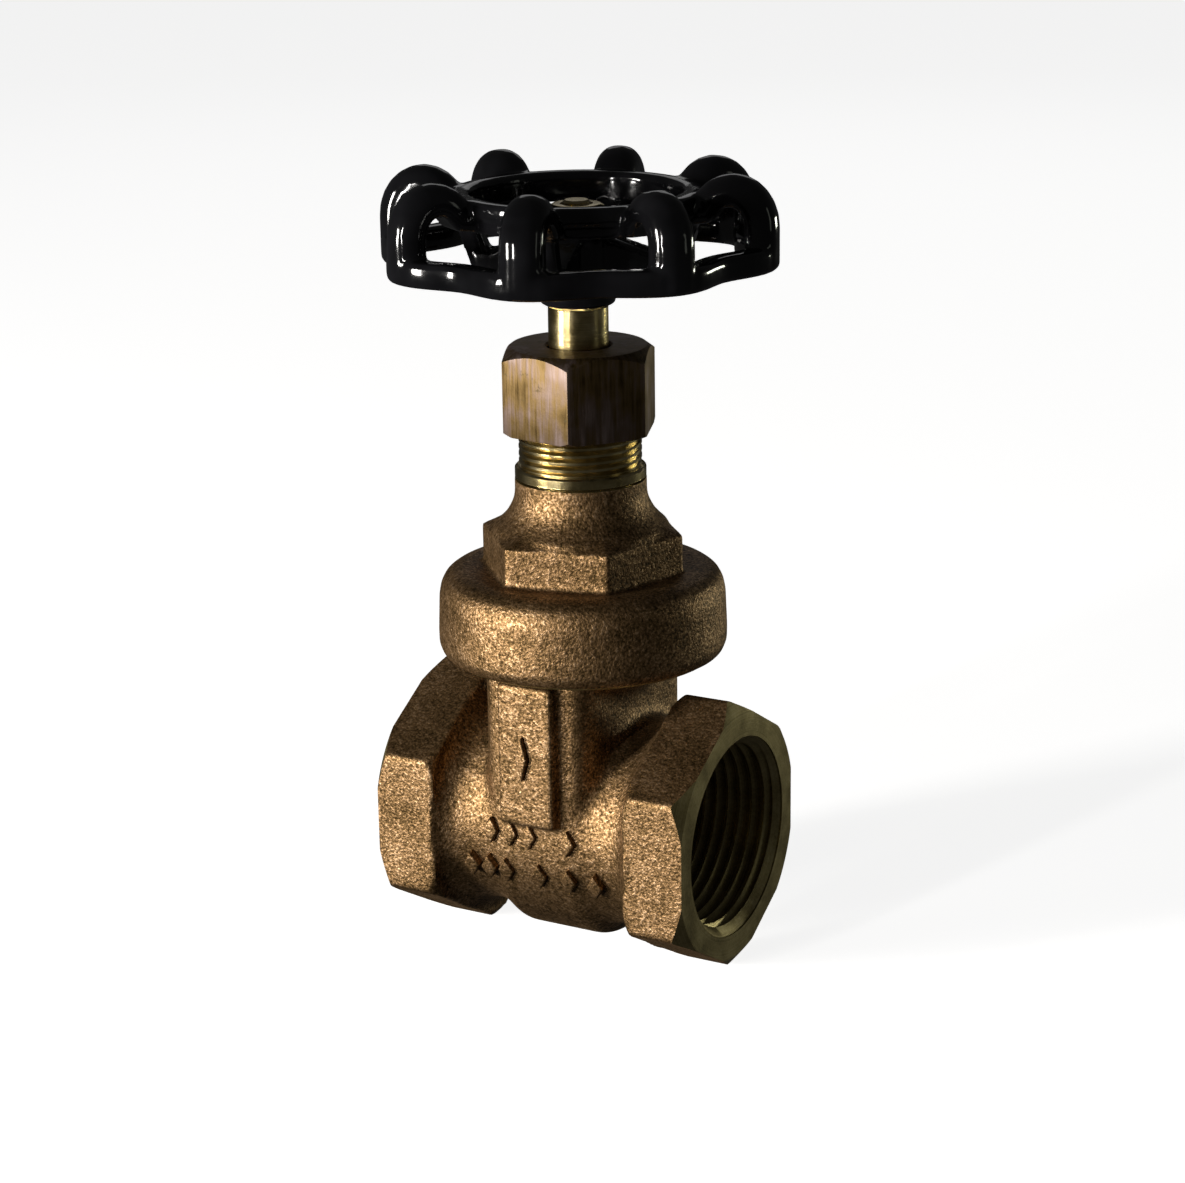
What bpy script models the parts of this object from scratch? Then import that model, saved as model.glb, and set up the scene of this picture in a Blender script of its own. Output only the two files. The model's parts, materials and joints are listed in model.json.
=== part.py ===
"""Bronze gate valve for one-inch pipe, with a non-rising stem and a lobed handwheel.

Origin: where the stem's axis crosses the bore's axis.  +X runs along the pipe, +Z up the stem and
-Y is the front.  Lengths are in millimetres in the constants and are turned into metres by MM.
Every screw thread is plain here: the solids keep the thread's outside or inside radius.
"""

import math

import bmesh
import bpy
from mathutils import Matrix, Vector

MM = 0.001
GAP = 0.3                       # left between pieces that touch

# Body: two pipe sockets, a round barrel between them and the chamber that the wedge rises through
PORT_END = 29.0                 # end face of each socket, from the stem's axis
PORT_INNER = 18.0               # where the socket's hexagon begins
PORT_FLATS = 41.0               # across the socket's flats
PORT_CLIP = 22.2                # radius that the end face is turned down to
BARREL_R = 17.2
CHAMBER_X, CHAMBER_Y = 10.3, 18.0
CHAMBER_TOP, CHAMBER_DEPTH = 28.6, 20.8
CHAMBER_ROUND = 2.5
PAD_X, PAD_Y, PAD_LOW = 5.2, 20.3, 3.5
FLOW_R = 12.6
SOCKET_R, SOCKET_MOUTH_R, SOCKET_STOP = 14.7, 16.9, 12.0
CAVITY_X, CAVITY_Y, CAVITY_DEPTH = 7.5, 15.3, 15.6
NECK_R, NECK_TOP = 18.3, 38.0
GUIDE_X, GUIDE_Y = 1.0, 13.4
SEAT_R = 14.9

# Wedge
WEDGE_R = 14.5
WEDGE_TAPER = math.radians(5)
WEDGE_HALF = 5.3                # half its thickness on the bore's axis
WEDGE_BOSS_R, WEDGE_BOSS_TOP = 6.9, 22.0
WEDGE_HOLE_END = -12.6
WEDGE_SLOT_X, WEDGE_SLOT_Y = 1.4, 13.0

# Bonnet
SKIRT_LOW, SKIRT_TOP = 28.9, 43.9
BONNET_HEX_R, BONNET_HEX_TURN = 17.3, 43.3
BONNET_HEX_TOP, BONNET_TOP = 51.6, 58.0
BONNET_THREAD_R = NECK_R + GAP
COLLAR_ROOM_R, COLLAR_LOW = 7.4, 50.2

# Stem
STEM_R, STEM_THREAD_R, STEM_TIP = 4.95, 4.4, 14.0
STEM_COLLAR_R, STEM_COLLAR_LOW, STEM_COLLAR_TOP = 7.0, 50.5, 53.5
STEM_SQUARE = 7.0
HUB_LOW, HUB_TOP = 87.8, 100.6
STEM_END_R, STEM_END = 2.4, 104.8

# Stuffing box, packing, gland and packing nut
BOX_SHANK_R, BOX_LOW = 9.0, 53.8
BOX_COLLAR_R, BOX_COLLAR_TOP = 10.9, 60.2
BOX_THREAD_R, BOX_TOP = 10.15, 70.6
PACKING_R, PACKING_LOW = 7.6, 57.2
PACKING_RINGS, PACKING_STEP = 4, 2.5
GLAND_FLANGE_R = 9.2
NUT_R, NUT_TURN = 13.5, 21.2
NUT_LOW, NUT_TOP = 65.8, 81.0
NUT_WEB = 76.0                  # underside of the nut's end wall

# Handwheel: the thin upper ring, the waved lower rim and the lobes that arch between them
LOBES = 8
LOBE_TURN = 13.3                # the first lobe, from the front towards +X
RING_R, RING_INNER_R = 20.4, 17.2
RING_LOW, RING_LEDGE, RING_TOP = 101.6, 104.2, 106.6
RIM_R, RIM_WAVE = 31.6, 1.5
RIM_LOW, RIM_TOP = 94.2, 98.4
RIM_WALL = 4.2
ARCH_CENTRE = (25.9, 101.4)     # radius and height of the middle of a lobe's arch
ARCH_ACROSS, ARCH_RISE = 5.25, 6.15
ARCH_WIDTH, ARCH_DEPTH = 7.0, 5.0
ARCH_FOOT = 95.4
SPOKES = 4
HUB_R = 6.2
WHEEL_NUT_FLATS, WHEEL_NUT_TURN = 8.0, 59.4
WASHER_R, WASHER_THICK = 5.0, 0.7

STEPS = 36                      # sides of a turned piece
FEW_STEPS = 24                  # sides of a small or hidden one


# ---------------------------------------------------------------- modelling helpers

def clear_scene():
    for item in list(bpy.data.objects):
        bpy.data.objects.remove(item, do_unlink=True)


def material(name, colour, roughness, metallic):
    made = bpy.data.materials.new(name)
    made.use_nodes = True
    shader = made.node_tree.nodes["Principled BSDF"]
    shader.inputs["Base Color"].default_value = (*colour, 1.0)
    shader.inputs["Roughness"].default_value = roughness
    shader.inputs["Metallic"].default_value = metallic
    made.diffuse_color = (*colour, 1.0)
    return made


def piece(name, shape, finish=None):
    """An object made from a bmesh whose numbers are millimetres."""
    bmesh.ops.remove_doubles(shape, verts=shape.verts, dist=1e-4)
    bmesh.ops.recalc_face_normals(shape, faces=shape.faces)
    bmesh.ops.scale(shape, vec=(MM, MM, MM), verts=shape.verts)
    mesh = bpy.data.meshes.new(name)
    shape.to_mesh(mesh)
    shape.free()
    made = bpy.data.objects.new(name, mesh)
    bpy.context.scene.collection.objects.link(made)
    if finish:
        mesh.materials.append(finish)
    return made


def smooth(made, angle=35):
    made.data.shade_smooth()
    made.data.set_sharp_from_angle(angle=math.radians(angle))


def combine(target, tool, operation):
    """Boolean the tool into the target's own mesh and delete the tool."""
    step = target.modifiers.new(operation.lower(), "BOOLEAN")
    step.operation = operation
    step.solver = "EXACT"
    step.object = tool
    bpy.context.view_layer.update()
    evaluated = target.evaluated_get(bpy.context.evaluated_depsgraph_get())
    result = bpy.data.meshes.new_from_object(evaluated)
    target.modifiers.clear()
    before = target.data
    target.data = result
    bpy.data.meshes.remove(before)
    bpy.data.objects.remove(tool, do_unlink=True)


def cut(target, tool):
    combine(target, tool, "DIFFERENCE")


def join(target, tool):
    combine(target, tool, "UNION")


def turned(outline, steps=STEPS):
    """Spin an outline of (radius, height) points about Z; it is closed unless it ends on the axis."""
    shape = bmesh.new()
    points = [shape.verts.new((radius, 0.0, height)) for radius, height in outline]
    edges = [shape.edges.new(pair) for pair in zip(points, points[1:])]
    if outline[0][0] > 0 or outline[-1][0] > 0:
        edges.append(shape.edges.new((points[-1], points[0])))
    bmesh.ops.spin(shape, geom=points + edges, cent=(0, 0, 0), axis=(0, 0, 1),
                   angle=math.tau, steps=steps, use_merge=True)
    return shape


def extruded(outline, low, high):
    """An upright prism over (x, y) points."""
    shape = bmesh.new()
    face = shape.faces.new([shape.verts.new((x, y, low)) for x, y in outline])
    grown = bmesh.ops.extrude_face_region(shape, geom=[face])["geom"]
    rising = [item for item in grown if isinstance(item, bmesh.types.BMVert)]
    bmesh.ops.translate(shape, vec=(0, 0, high - low), verts=rising)
    return shape


def polygon(sides, radius, turn=0.0):
    """Corners of a regular polygon; the turn is measured from the front (-Y) towards +X, in degrees."""
    first = math.radians(turn - 90)
    turns = [first + math.tau * k / sides for k in range(sides)]
    return [(radius * math.cos(angle), radius * math.sin(angle)) for angle in turns]


def rectangle(half_x, half_y):
    return [(-half_x, -half_y), (half_x, -half_y), (half_x, half_y), (-half_x, half_y)]


def moved(shape, matrix):
    bmesh.ops.transform(shape, matrix=matrix, verts=shape.verts)
    return shape


def along_x(shape):
    """Turn a shape made along +Z to lie along +X."""
    return moved(shape, Matrix.Rotation(math.pi / 2, 4, "Y"))


def bevel_edges(shape, wanted, width, segments=3):
    edges = [edge for edge in shape.edges if wanted(edge)]
    bmesh.ops.bevel(shape, geom=edges, offset=width, segments=segments, profile=0.5, affect="EDGES")
    return shape


def upright(edge):
    a, b = (vert.co for vert in edge.verts)
    return abs((a - b).normalized().z) > 0.99


# ---------------------------------------------------------------- finishes

def finishes():
    return {
        "cast_bronze": material("cast_bronze", (0.33, 0.22, 0.13), 0.55, 0.85),
        "turned_brass": material("turned_brass", (0.52, 0.42, 0.20), 0.28, 1.0),
        "black_enamel": material("black_enamel", (0.012, 0.012, 0.014), 0.12, 0.0),
        "packing_cord": material("packing_cord", (0.16, 0.15, 0.14), 0.85, 0.0),
        "zinc_plate": material("zinc_plate", (0.62, 0.61, 0.58), 0.35, 1.0),
    }


# ---------------------------------------------------------------- sub-parts

def chamber_outline(half_width, depth, top, count=10):
    """(across, height) points of a chamber: straight sides over a round bottom."""
    bottom = [(half_width * math.cos(a), depth * math.sin(a))
              for a in (math.pi + math.pi * k / (2 * count) for k in range(2 * count + 1))]
    return [(-half_width, top)] + bottom + [(half_width, top)]


def chamber(half_x, half_y, depth, top, rounding):
    """A block along X over the chamber's outline, its long edges rounded."""
    shape = extruded(chamber_outline(half_y, depth, top), -half_x, half_x)
    # (x, y) of the outline becomes (y, z) of the valve, and the extrusion runs along x
    moved(shape, Matrix(((0, 0, 1, 0), (1, 0, 0, 0), (0, 1, 0, 0), (0, 0, 0, 1))))
    if rounding:
        def end_edge(edge):
            a, b = (vert.co for vert in edge.verts)
            return abs(a.x - b.x) < 1e-6 and min(a.z, b.z) < top - 0.1
        bevel_edges(shape, end_edge, rounding, 2)
    return shape


def port_end(side):
    """One hexagonal socket end, its corners turned down at the face."""
    corner = PORT_FLATS / math.sqrt(3)
    hexagon = piece("hexagon", along_x(extruded(polygon(6, corner, 90), PORT_INNER, PORT_END)))
    turning = [(0, PORT_INNER), (corner - 1.4, PORT_INNER), (corner + 0.2, PORT_INNER + 1.6),
               (corner + 0.2, PORT_END - 2.2), (PORT_CLIP, PORT_END), (0, PORT_END)]
    combine(hexagon, piece("turning", along_x(turned(turning))), "INTERSECT")
    if side < 0:
        hexagon.data.transform(Matrix.Rotation(math.pi, 4, "Z"))
    return hexagon


def wedge_prism(extra=0.0):
    """The tapered block between the seats, thicker towards the top, wider than the wedge by extra."""
    low, high, reach = -18.0, 24.0, 22.0
    middle = WEDGE_HALF + extra / math.cos(WEDGE_TAPER)
    thin, thick = (middle + height * math.tan(WEDGE_TAPER) for height in (low, high))
    outline = [(-thin, low), (thin, low), (thick, high), (-thick, high)]
    shape = extruded(outline, -reach, reach)
    return moved(shape, Matrix.Rotation(math.pi / 2, 4, "X"))


def cavity():
    """The room inside the body's chamber."""
    return piece("cavity", chamber(CAVITY_X, CAVITY_Y, CAVITY_DEPTH, NECK_TOP + 1, 1.5))


def make_body(bronze):
    flare = [(BARREL_R, 14.2), (17.6, 16.2), (18.6, 17.6), (20.3, 18.5), (0, 18.5)]
    barrel = [(radius, -x) for radius, x in reversed(flare)] + flare
    body = piece("body", along_x(turned(barrel)), bronze)
    join(body, piece("chamber", chamber(CHAMBER_X, CHAMBER_Y, CHAMBER_DEPTH, CHAMBER_TOP, CHAMBER_ROUND)))
    pads = extruded(rectangle(PAD_X, PAD_Y), PAD_LOW, CHAMBER_TOP)
    join(body, piece("pads", bevel_edges(pads, upright, 0.8, 1)))
    neck = [(0, 20.0), (NECK_R, CHAMBER_TOP - 0.4), (NECK_R, NECK_TOP - 0.6), (NECK_R - 0.6, NECK_TOP),
            (0, NECK_TOP)]
    join(body, piece("neck", turned(neck)))
    for side in (1, -1):
        join(body, port_end(side))
    cut(body, cavity())
    reach = CAVITY_X + 0.5
    seats = [(8.0, -reach), (SEAT_R, -reach), (SEAT_R, reach), (8.0, reach)]
    join(body, piece("seats", along_x(turned(seats))))
    gate_room = piece("gate_room", wedge_prism(GAP))
    combine(gate_room, cavity(), "INTERSECT")
    cut(body, gate_room)
    for side in (1, -1):
        middle = side * (GUIDE_Y + 1.4)
        guide = extruded([(x, y + middle) for x, y in rectangle(GUIDE_X, 1.4)], -2.0, NECK_TOP)
        join(body, piece("guide", guide))
    past = PORT_END + 1
    cut(body, piece("flow", along_x(turned([(0, -past), (FLOW_R, -past), (FLOW_R, past), (0, past)]))))
    for side in (1, -1):
        socket = along_x(turned([(0, SOCKET_STOP), (SOCKET_R, SOCKET_STOP), (SOCKET_R, PORT_END - 2.4),
                                 (SOCKET_MOUTH_R, PORT_END), (SOCKET_MOUTH_R, past), (0, past)]))
        if side < 0:
            moved(socket, Matrix.Rotation(math.pi, 4, "Z"))
        cut(body, piece("socket", socket))
    smooth(body)
    return body


def make_bonnet(bronze):
    skirt = [(0, SKIRT_LOW), (22.2, SKIRT_LOW), (24.0, 30.0), (24.2, 32.4), (23.9, 39.5), (23.4, 41.8),
             (21.6, 43.5), (19.5, SKIRT_TOP)]
    neck = [(13.8, SKIRT_TOP), (13.8, BONNET_HEX_TOP), (13.3, 52.2), (12.2, 53.0), (11.3, 54.6),
            (10.95, 56.5), (10.95, BONNET_TOP), (0, BONNET_TOP)]
    bonnet = piece("bonnet", turned(skirt + neck), bronze)
    low = SKIRT_TOP - 0.9
    hexagon = piece("hexagon", extruded(polygon(6, BONNET_HEX_R, BONNET_HEX_TURN), low, BONNET_HEX_TOP))
    outside = BONNET_HEX_R + 0.3
    turning = [(0, low - 0.5), (outside, low - 0.5), (outside, 49.0), (14.0, BONNET_HEX_TOP),
               (0, BONNET_HEX_TOP)]
    combine(hexagon, piece("turning", turned(turning)), "INTERSECT")
    join(bonnet, hexagon)
    shank_room, past = BOX_SHANK_R + GAP, BONNET_TOP + 1
    wedge_room = [(0, SKIRT_LOW - 1), (BONNET_THREAD_R, SKIRT_LOW - 1), (BONNET_THREAD_R, NECK_TOP + GAP),
                  (16.6, NECK_TOP + GAP), (16.6, 40.9), (7.7, 43.4), (7.5, 48.6)]
    stem_room = [(4.75, 48.6), (4.75, COLLAR_LOW), (COLLAR_ROOM_R, COLLAR_LOW), (COLLAR_ROOM_R, 53.5),
                 (shank_room, 53.5), (shank_room, past), (0, past)]
    hollow = wedge_room + stem_room
    cut(bonnet, piece("hollow", turned(hollow)))
    smooth(bonnet)
    return bonnet


def make_stem(brass):
    thread = [(0, STEM_TIP), (STEM_THREAD_R - 1, STEM_TIP), (STEM_THREAD_R, STEM_TIP + 1),
              (STEM_THREAD_R, STEM_COLLAR_LOW)]
    collar = [(STEM_COLLAR_R, STEM_COLLAR_LOW), (STEM_COLLAR_R, STEM_COLLAR_TOP)]
    shank = [(STEM_R, STEM_COLLAR_TOP), (STEM_R, HUB_LOW - 0.8), (STEM_R - 0.4, HUB_LOW - GAP),
             (0, HUB_LOW - GAP)]
    stem = piece("stem", turned(thread + collar + shank, FEW_STEPS), brass)
    half = STEM_SQUARE / 2
    join(stem, piece("square", extruded(rectangle(half, half), HUB_LOW - 2, HUB_TOP - 0.6)))
    end = [(0, HUB_TOP - 2), (STEM_END_R, HUB_TOP - 2), (STEM_END_R, STEM_END - 0.4),
           (STEM_END_R - 0.4, STEM_END), (0, STEM_END)]
    join(stem, piece("end", turned(end, FEW_STEPS)))
    smooth(stem)
    return stem


def make_wedge(brass):
    wedge = piece("wedge", along_x(turned([(0, -9), (WEDGE_R, -9), (WEDGE_R, 9), (0, 9)])), brass)
    boss = [(0, 0), (WEDGE_BOSS_R, 0), (WEDGE_BOSS_R, WEDGE_BOSS_TOP - 1), (WEDGE_BOSS_R - 1, WEDGE_BOSS_TOP),
            (0, WEDGE_BOSS_TOP)]
    join(wedge, piece("boss", turned(boss, FEW_STEPS)))
    combine(wedge, piece("prism", wedge_prism()), "INTERSECT")
    hole_r, past = STEM_THREAD_R + GAP, WEDGE_BOSS_TOP + 1
    hole = [(0, WEDGE_HOLE_END), (hole_r, WEDGE_HOLE_END), (hole_r, past), (0, past)]
    cut(wedge, piece("stem_hole", turned(hole, FEW_STEPS)))
    for side in (1, -1):
        middle = side * (WEDGE_SLOT_Y + 2)
        slot = extruded([(x, y + middle) for x, y in rectangle(WEDGE_SLOT_X, 2)], -16, 16)
        cut(wedge, piece("slot", slot))
    smooth(wedge)
    return wedge


def make_stuffing_box(brass):
    shank = [(STEM_R + GAP, BOX_LOW), (BOX_SHANK_R, BOX_LOW), (BOX_SHANK_R, BONNET_TOP + GAP)]
    collar = [(BOX_COLLAR_R, BONNET_TOP + GAP), (BOX_COLLAR_R, BOX_COLLAR_TOP - 0.3),
              (BOX_COLLAR_R - 0.3, BOX_COLLAR_TOP)]
    thread = [(BOX_THREAD_R, BOX_COLLAR_TOP), (BOX_THREAD_R, BOX_TOP - 0.6), (BOX_THREAD_R - 0.6, BOX_TOP)]
    packing_room = [(PACKING_R, BOX_TOP), (PACKING_R, PACKING_LOW), (STEM_R + GAP, PACKING_LOW)]
    box = piece("stuffing_box", turned(shank + collar + thread + packing_room), brass)
    smooth(box)
    return box


def make_packing(cord):
    rings = []
    for k in range(PACKING_RINGS):
        low = PACKING_LOW + GAP + k * PACKING_STEP
        high = low + PACKING_STEP - GAP
        inner, outer = STEM_R + GAP, PACKING_R - GAP
        outline = [(inner, low), (outer, low), (outer, high), (inner, high)]
        ring = piece(f"packing_ring_{k + 1}", turned(outline, FEW_STEPS), cord)
        smooth(ring)
        rings.append(ring)
    return rings


def make_gland(brass):
    low = PACKING_LOW + GAP + PACKING_RINGS * PACKING_STEP
    flange = BOX_TOP + 2.0
    outline = [(STEM_R + GAP, low), (PACKING_R - GAP, low), (PACKING_R - GAP, flange),
               (GLAND_FLANGE_R, flange), (GLAND_FLANGE_R, NUT_WEB - GAP), (STEM_R + GAP, NUT_WEB - GAP)]
    gland = piece("packing_gland", turned(outline), brass)
    smooth(gland)
    return gland


def make_packing_nut(brass):
    nut = piece("packing_nut", extruded(polygon(6, NUT_R, NUT_TURN), NUT_LOW, NUT_TOP), brass)
    outside = NUT_R + 0.2
    turning = [(0, NUT_LOW), (outside - 1, NUT_LOW), (outside, NUT_LOW + 0.7), (outside, NUT_TOP - 1.9),
               (outside - 2.5, NUT_TOP), (0, NUT_TOP)]
    combine(nut, piece("turning", turned(turning)), "INTERSECT")
    hollow = [(0, NUT_LOW - 1), (BOX_THREAD_R + GAP, NUT_LOW - 1), (BOX_THREAD_R + GAP, NUT_WEB),
              (STEM_R + GAP, NUT_WEB), (STEM_R + GAP, NUT_TOP + 1), (0, NUT_TOP + 1)]
    cut(nut, piece("hollow", turned(hollow)))
    smooth(nut, 25)
    return nut


def rim_outline(inset, count=64):
    """The waved rim seen from above: furthest out at each lobe."""
    points = []
    for k in range(count):
        turn = math.tau * k / count
        radius = RIM_R - inset + RIM_WAVE * math.cos(LOBES * turn)
        from_front = turn + math.radians(LOBE_TURN - 90)
        points.append((radius * math.cos(from_front), radius * math.sin(from_front)))
    return points


def lobe_arch(turn):
    """One lobe: a round-backed bar that rises from the ring, arches over and drops to the rim."""
    radius, height = ARCH_CENTRE
    path = [(RING_R, RING_LEDGE)]
    for angle in range(150, -1, -30):
        a = math.radians(angle)
        path.append((radius + ARCH_ACROSS * math.cos(a), height + ARCH_RISE * math.sin(a)))
    path.append((radius + ARCH_ACROSS, ARCH_FOOT))
    # (across, outwards) corners of the bar, as shares of its width and depth
    section = [(-0.5, -0.5), (0.5, -0.5), (0.5, 0.1), (0.26, 0.45), (-0.26, 0.45), (-0.5, 0.1)]
    shape = bmesh.new()
    rows = []
    for index, point in enumerate(path):
        before, after = Vector(path[max(index - 1, 0)]), Vector(path[min(index + 1, len(path) - 1)])
        along = (after - before).normalized()
        outwards = Vector((-along.y, along.x))
        row = []
        for across, depth in section:
            r, z = Vector(point) + outwards * depth * ARCH_DEPTH
            row.append(shape.verts.new((r, across * ARCH_WIDTH, z)))
        rows.append(row)
    for row, following in zip(rows, rows[1:]):
        for k in range(len(row)):
            n = (k + 1) % len(row)
            shape.faces.new((row[k], row[n], following[n], following[k]))
    shape.faces.new(rows[0])
    shape.faces.new(rows[-1][::-1])
    return moved(shape, Matrix.Rotation(math.radians(turn - 90), 4, "Z"))


def slanted_block(low, high, half_wide):
    """A block between a lower and an upper edge, each given as two (radius, height) points."""
    shape = bmesh.new()
    loops = []
    for (near, near_height), (far, far_height) in (low, high):
        corners = [(near, -half_wide, near_height), (near, half_wide, near_height),
                   (far, half_wide, far_height), (far, -half_wide, far_height)]
        loops.append([shape.verts.new(corner) for corner in corners])
    lower, upper = loops
    shape.faces.new(lower[::-1])
    shape.faces.new(upper)
    for k in range(4):
        n = (k + 1) % 4
        shape.faces.new((lower[k], lower[n], upper[n], upper[k]))
    return shape


def spoke(turn):
    """An arm that slopes down from the hub and a leg that climbs from its end to the ring."""
    made = piece("arm", slanted_block([(4.5, 91.0), (17.0, 92.0)], [(4.5, 99.6), (17.0, 95.6)], 2.2))
    join(made, piece("leg", slanted_block([(13.6, 92.2), (17.2, 92.0)], [(17.6, 102.4), (20.6, 102.4)], 2.1)))
    made.data.transform(Matrix.Rotation(math.radians(turn - 90), 4, "Z"))
    return made


def make_handwheel(enamel):
    band = RING_R + 0.3
    ring = [(RING_INNER_R, RING_LOW), (RING_R - 0.4, RING_LOW), (RING_R - 0.4, RING_LEDGE),
            (band, RING_LEDGE), (band, RING_TOP - 0.6), (RING_R - 0.4, RING_TOP),
            (RING_INNER_R + 0.8, RING_TOP), (RING_INNER_R, RING_TOP - 0.8)]
    wheel = piece("handwheel", turned(ring, 40), enamel)
    rim = extruded(rim_outline(0), RIM_LOW, RIM_TOP)
    rim = piece("rim", bevel_edges(rim, lambda edge: not upright(edge), 0.8, 1))
    cut(rim, piece("rim_hole", extruded(rim_outline(RIM_WALL), RIM_LOW - 1, RIM_TOP + 1)))
    for k in range(LOBES):
        join(rim, piece("lobe", lobe_arch(LOBE_TURN + k * 360 / LOBES)))
    join(wheel, rim)
    for k in range(SPOKES):
        join(wheel, spoke(LOBE_TURN + k * 360 / SPOKES))
    hub = [(0, HUB_LOW), (HUB_R, HUB_LOW), (HUB_R, HUB_TOP - 0.5), (HUB_R - 0.5, HUB_TOP), (0, HUB_TOP)]
    join(wheel, piece("hub", turned(hub)))
    square = STEM_SQUARE / 2 + GAP
    cut(wheel, piece("square_hole", extruded(rectangle(square, square), HUB_LOW - 1, HUB_TOP + 1)))
    smooth(wheel)
    return wheel


def make_wheel_washer(zinc):
    low = HUB_TOP + GAP
    high = low + WASHER_THICK
    outline = [(STEM_END_R + GAP, low), (WASHER_R, low), (WASHER_R, high), (STEM_END_R + GAP, high)]
    washer = piece("wheel_washer", turned(outline, FEW_STEPS), zinc)
    smooth(washer)
    return washer


def make_wheel_nut(brass):
    low = HUB_TOP + WASHER_THICK + 2 * GAP
    high = STEM_END - 0.6
    corner = WHEEL_NUT_FLATS / math.sqrt(3)
    nut = piece("wheel_nut", extruded(polygon(6, corner, WHEEL_NUT_TURN), low, high), brass)
    turning = [(0, low), (corner, low), (corner, high - 0.5), (corner - 0.7, high), (0, high)]
    combine(nut, piece("turning", turned(turning, FEW_STEPS)), "INTERSECT")
    hole_r = STEM_END_R + GAP
    hole = [(0, low - 1), (hole_r, low - 1), (hole_r, high + 1), (0, high + 1)]
    cut(nut, piece("hole", turned(hole, FEW_STEPS)))
    smooth(nut, 25)
    return nut


def empty(name, height):
    made = bpy.data.objects.new(name, None)
    made.empty_display_size = 10 * MM
    made.location = (0, 0, height * MM)
    bpy.context.scene.collection.objects.link(made)
    return made


def main():
    clear_scene()
    use = finishes()
    make_body(use["cast_bronze"])
    make_bonnet(use["cast_bronze"])
    make_stuffing_box(use["turned_brass"])
    make_packing(use["packing_cord"])
    make_gland(use["turned_brass"])
    make_packing_nut(use["turned_brass"])
    turning = [make_stem(use["turned_brass"]), make_handwheel(use["black_enamel"]),
               make_wheel_washer(use["zinc_plate"]), make_wheel_nut(use["turned_brass"])]
    wedge = make_wedge(use["turned_brass"])
    stem_axis = empty("stem_axis", 0.0)
    for moving in turning:
        moving.parent = stem_axis
    lift_axis = empty("wedge_axis", 0.0)
    wedge.parent = lift_axis


main()
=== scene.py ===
import json
import math

import bpy
from mathutils import Matrix, Vector


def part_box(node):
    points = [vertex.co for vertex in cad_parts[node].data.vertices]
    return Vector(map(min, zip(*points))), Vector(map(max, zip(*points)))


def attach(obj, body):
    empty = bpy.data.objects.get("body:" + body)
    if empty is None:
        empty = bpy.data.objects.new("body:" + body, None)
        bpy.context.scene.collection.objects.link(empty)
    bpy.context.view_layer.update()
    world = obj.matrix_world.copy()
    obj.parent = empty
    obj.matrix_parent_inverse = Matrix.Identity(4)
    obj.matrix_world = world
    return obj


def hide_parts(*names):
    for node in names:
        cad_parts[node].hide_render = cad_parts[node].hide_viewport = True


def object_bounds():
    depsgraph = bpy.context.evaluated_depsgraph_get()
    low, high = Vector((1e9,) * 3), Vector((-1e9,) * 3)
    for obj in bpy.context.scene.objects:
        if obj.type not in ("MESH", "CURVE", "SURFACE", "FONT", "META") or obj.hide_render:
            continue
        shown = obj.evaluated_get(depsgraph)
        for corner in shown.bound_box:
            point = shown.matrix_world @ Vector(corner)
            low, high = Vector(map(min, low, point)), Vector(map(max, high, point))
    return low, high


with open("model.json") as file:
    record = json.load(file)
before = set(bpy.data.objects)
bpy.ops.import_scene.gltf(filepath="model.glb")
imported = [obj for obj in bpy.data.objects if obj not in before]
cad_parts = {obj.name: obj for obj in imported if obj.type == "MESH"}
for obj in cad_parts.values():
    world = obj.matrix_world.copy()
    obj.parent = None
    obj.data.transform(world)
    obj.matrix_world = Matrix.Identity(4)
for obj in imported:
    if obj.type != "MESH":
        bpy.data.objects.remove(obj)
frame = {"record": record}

cad_low, cad_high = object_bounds()
MM = 0.001

# ---- Body ------------------------------------------------------------------------------------
# The valve's body is one sand casting in bronze: two hexagonal pipe sockets, a barrel between them
# and a flat-sided chamber for the wedge. The sockets are faced and tapped on a lathe afterwards.


def take(piece):
    """Leaves only this piece selected, and active."""
    bpy.ops.object.select_all(action="DESELECT")
    piece.select_set(True)
    bpy.context.view_layer.objects.active = piece


def named(name):
    """Names the new primitive and puts its place into its mesh."""
    piece = bpy.context.object
    piece.name = name
    piece.data.name = name
    bpy.ops.object.transform_apply(location=True, rotation=True, scale=True)
    return piece


def finish_modifiers(piece):
    take(piece)
    for modifier in list(piece.modifiers):
        bpy.ops.object.modifier_apply(modifier=modifier.name)


def outward(piece):
    """Closes the seams and points every face outwards."""
    take(piece)
    bpy.ops.object.mode_set(mode="EDIT")
    bpy.ops.mesh.select_all(action="SELECT")
    bpy.ops.mesh.remove_doubles(threshold=0.000001)
    bpy.ops.mesh.normals_make_consistent(inside=False)
    bpy.ops.object.mode_set(mode="OBJECT")


def block(name, low, high):
    """A rectangular block between two corners, in millimetres."""
    bpy.ops.object.select_all(action="DESELECT")
    middle = [(a + b) / 2 * MM for a, b in zip(low, high)]
    bpy.ops.mesh.primitive_cube_add(size=1, location=middle)
    bpy.context.object.scale = [(b - a) * MM for a, b in zip(low, high)]
    return named(name)


def bar(name, sides, radius, low, high, turn=0.0, along="Z"):
    """A bar with so many sides; the turn is counted from the front (-Y) towards +X, in degrees."""
    bpy.ops.object.select_all(action="DESELECT")
    bpy.ops.mesh.primitive_cylinder_add(vertices=sides, radius=radius * MM, depth=(high - low) * MM,
                                        location=(0, 0, (low + high) / 2 * MM),
                                        rotation=(0, 0, math.radians(turn)))
    piece = named(name)
    return laid_along_x(piece) if along == "X" else piece


def laid_along_x(piece, side=1):
    """Lays a piece made along +Z down along +X, or along -X."""
    take(piece)
    piece.rotation_euler = (0, math.pi / 2, 0 if side > 0 else math.pi)
    bpy.ops.object.transform_apply(rotation=True)
    return piece


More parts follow.
